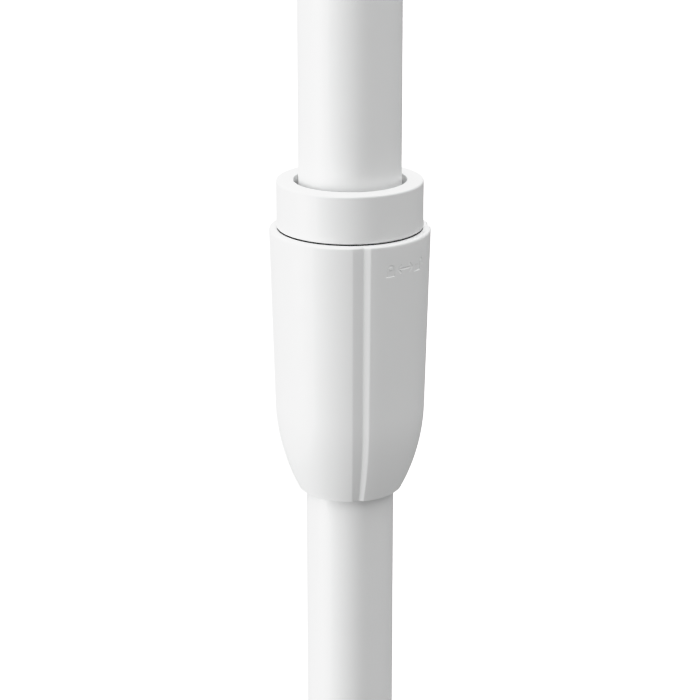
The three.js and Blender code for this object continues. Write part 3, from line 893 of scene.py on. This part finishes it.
wedge_body = turned("wedge_ring_body", rounded([
    (cone_radius(wedge_low) + WEDGE_CONE_GAP, wedge_low, 0.15), (WEDGE_OUTER, wedge_low, 0.3),
    (WEDGE_OUTER, wedge_high, 0.3), (cone_radius(wedge_high) + WEDGE_CONE_GAP, wedge_high, 0.15),
]), fine_round)
wedge_adds = []
for turn in LUG_TURNS:
    wedge_adds += [
        block("lug", (-LUG_HALF, -LUG_RADIUS, LUG_MIDDLE - LUG_HALF),
              (LUG_HALF, -WEDGE_OUTER + 0.7, LUG_MIDDLE + LUG_HALF), turn),
        block("key", (-KEY_HALF, -WEDGE_OUTER + 1, wedge_low + 0.3),
              (KEY_HALF, -KEY_FLOOR, wedge_high - 0.3), turn),
    ]
combine(wedge_body, wedge_adds, "UNION")
finish_piece(wedge_body, "wedge_ring", "grey_plastic")


# ---- Set screws that fix the core to the upper tube ----
SCREW_TIP = 12.1  # distances from the pole's axis
SCREW_STEP = 13
SCREW_END = 15
SOCKET_FLOOR = 13.8
SOCKET_RADIUS = 1.15

for number, turn in enumerate(SCREW_TURNS, 1):
    node = f"core_screw_{number}"
    screw = pin(node + "_body", [
        (0, SCREW_TIP), (SCREW_POINT - 0.2, SCREW_TIP), (SCREW_POINT, SCREW_TIP + 0.2),
        (SCREW_POINT, SCREW_STEP), (SCREW_RADIUS - 0.3, SCREW_STEP), (SCREW_RADIUS, SCREW_STEP + 0.3),
        (SCREW_RADIUS, SCREW_END - 0.2), (SCREW_RADIUS - 0.2, SCREW_END), (0, SCREW_END),
    ], turn, SCREW_HEIGHT, 48)
    socket = pin("socket", [
        (0, SOCKET_FLOOR), (SOCKET_RADIUS, SOCKET_FLOOR), (SOCKET_RADIUS, SCREW_END + 1),
        (0, SCREW_END + 1),
    ], turn, SCREW_HEIGHT, 6)
    combine(screw, [socket], "DIFFERENCE")
    finish_piece(screw, node, "steel")


# ---- Studio: tone ----
scene.view_settings.view_transform = "Standard"
scene.view_settings.look = "None"

# A soft shoulder holds the lit side just below the white of the background.
SHOULDER = [(0, 0), (0.4, 0.4), (0.8, 0.8), (0.9, 0.885), (1.02, 0.92), (1.2, 0.95), (1.5, 1)]
SHOULDER_END = SHOULDER[-1][0]
scene.view_settings.use_curve_mapping = True
tone = scene.view_settings.curve_mapping
tone.white_level = (SHOULDER_END,) * 3
tone_curve = tone.curves[3]
for light_in, light_out in SHOULDER[1:-1]:
    tone_curve.points.new(light_in / SHOULDER_END, light_out)
for point in tone_curve.points:
    point.handle_type = "VECTOR"
tone.update()


# ---- Studio: surroundings ----
# They are bright overhead and underneath, and dim round the horizon. Places on the ramp run from
# straight down, 0, to straight up, 1.
HORIZON_LIGHT = 0.21
ZENITH_LIGHT = 1.85
NADIR_LIGHT = 0.65
HORIZON_PLACES = (0.35, 0.65)
NADIR_PLACE = 0.1
ZENITH_PLACE = 0.9

world = bpy.data.worlds.new("studio")
world.use_nodes = True
sky = world.node_tree
direction = sky.nodes.new("ShaderNodeTexCoord")
split = sky.nodes.new("ShaderNodeSeparateXYZ")
sky.links.new(direction.outputs["Generated"], split.inputs["Vector"])
ramp = sky.nodes.new("ShaderNodeValToRGB")
ramp.color_ramp.interpolation = "EASE"
nadir, zenith = ramp.color_ramp.elements
nadir.position, zenith.position = NADIR_PLACE, ZENITH_PLACE
nadir.color, zenith.color = (NADIR_LIGHT,) * 3 + (1,), (ZENITH_LIGHT,) * 3 + (1,)
for position in HORIZON_PLACES:
    ramp.color_ramp.elements.new(position).color = (HORIZON_LIGHT,) * 3 + (1,)
height_share = spread(sky, split.outputs["Z"], 0, 1, (-1, 1))
sky.links.new(height_share, ramp.inputs["Fac"])
sky.links.new(ramp.outputs["Color"], sky.nodes["Background"].inputs["Color"])
scene.world = world


# ---- Studio: softboxes ----
SOFTBOX_WIDTH = 0.5
SOFTBOX_HEIGHT = 1.2
SOFTBOX_DISTANCE = 1.6


def add_softbox(name, turn, elevation, power):
    """A tall softbox turned towards the middle of the view."""
    light = bpy.data.lights.new(name, "AREA")
    light.shape = "RECTANGLE"
    light.size, light.size_y = SOFTBOX_WIDTH, SOFTBOX_HEIGHT
    light.energy = power
    softbox = bpy.data.objects.new(name, light)
    scene.collection.objects.link(softbox)
    elevation = math.radians(elevation)
    way = at(turn, math.cos(elevation), math.sin(elevation))
    softbox.location = CAMERA_TARGET + way * SOFTBOX_DISTANCE
    softbox.rotation_euler = way.to_track_quat("Z", "Y").to_euler()
    return softbox


add_softbox("key", -73, -6, 17)
fill = add_softbox("back_fill", 180, 10, 7)
fill.visible_glossy = False  # so that it draws no line along the sides


# ---- Studio: floor ----
# It is white and sweeps up far away. It lights nothing, as the surroundings do that.
FLOOR_RADIUS = 6000
SWEEP_RADIUS = 4000
FLOOR_GLOW = 0.9
floor_profile = [(0, 0)] + arc(FLOOR_RADIUS, SWEEP_RADIUS, SWEEP_RADIUS, -90, 0, 12)
floor_profile.append((FLOOR_RADIUS + SWEEP_RADIUS, 3 * SWEEP_RADIUS))
floor_points = [at(turn, r, z) for turn in plain_round for r, z in floor_profile]
rows = len(floor_profile)
floor_faces = [
    (i * rows + k, (i + 1) % PLAIN * rows + k, (i + 1) % PLAIN * rows + k + 1, i * rows + k + 1)
    for i in range(PLAIN)
    for k in range(rows - 1)
]
floor = make_mesh("floor", floor_points, floor_faces)
floor_material, _, floor_shader = new_material("floor", (0.9, 0.9, 0.9), 0.9)
floor_shader.inputs["Emission Color"].default_value = (1, 1, 1, 1)
floor_shader.inputs["Emission Strength"].default_value = FLOOR_GLOW
floor.data.materials.append(floor_material)
floor.data.shade_smooth()
floor.visible_diffuse = False
floor.visible_glossy = False
floor.visible_shadow = False
